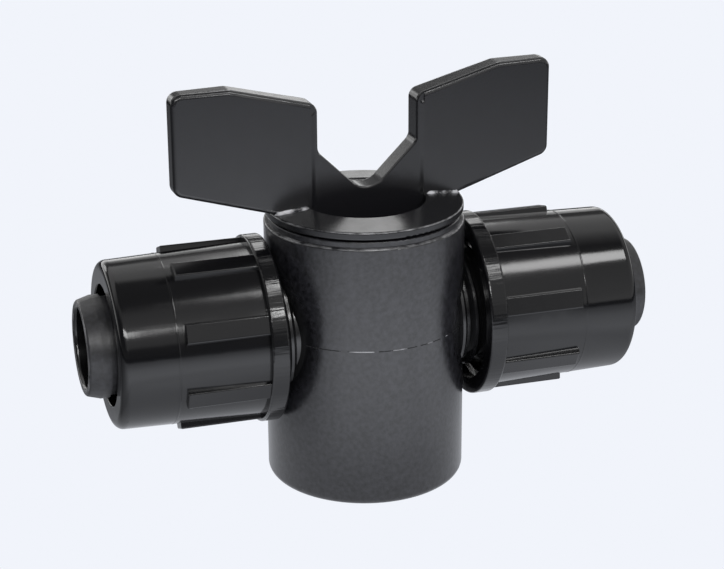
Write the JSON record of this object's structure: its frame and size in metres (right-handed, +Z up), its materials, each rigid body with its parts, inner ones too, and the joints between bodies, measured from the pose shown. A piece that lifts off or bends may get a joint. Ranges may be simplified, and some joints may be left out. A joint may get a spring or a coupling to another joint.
{
  "type": "valved coupling",
  "caption": "In-line plug valve for drip tubing, with a butterfly handle on an upright body and a barbed nozzle under a ribbed lock nut at each end.",
  "frame": {"origin": "middle of the body's flat base", "axes": "+Z up the plug axis, +X along the pipe; at rest the handle is open, a little past the line of the pipe"},
  "size_m": [0.087, 0.03, 0.0625],
  "materials": {
    "body_plastic": "moulded polypropylene, fine matte texture",
    "handle_plastic": "moulded polypropylene, satin",
    "nut_plastic": "moulded acetal, glossy",
    "seal_rubber": "nitrile rubber"
  },
  "bodies": {
    "housing": {"valve_body": "body_plastic"},
    "handle": {"plug_handle": "handle_plastic", "upper_plug_seal": "seal_rubber", "lower_plug_seal": "seal_rubber", "front_port_seal": "seal_rubber", "rear_port_seal": "seal_rubber"},
    "left_nut": {"left_lock_nut": "nut_plastic"},
    "right_nut": {"right_lock_nut": "nut_plastic"}
  },
  "joints": [
    {"name": "handle_turn", "type": "hinge", "parent": "housing", "child": "handle", "pos_m": [0, 0, 0.042], "axis": [0, 0, 1], "range_deg": [-93.4, 0]},
    {"name": "left_nut_turn", "type": "hinge", "parent": "housing", "child": "left_nut", "pos_m": [-0.0275, 0, 0.0249], "axis": [-1, 0, 0], "range_deg": [0, 1008]},
    {"name": "right_nut_turn", "type": "hinge", "parent": "housing", "child": "right_nut", "pos_m": [0.0275, 0, 0.0249], "axis": [1, 0, 0], "range_deg": [0, 1008]}
  ]
}
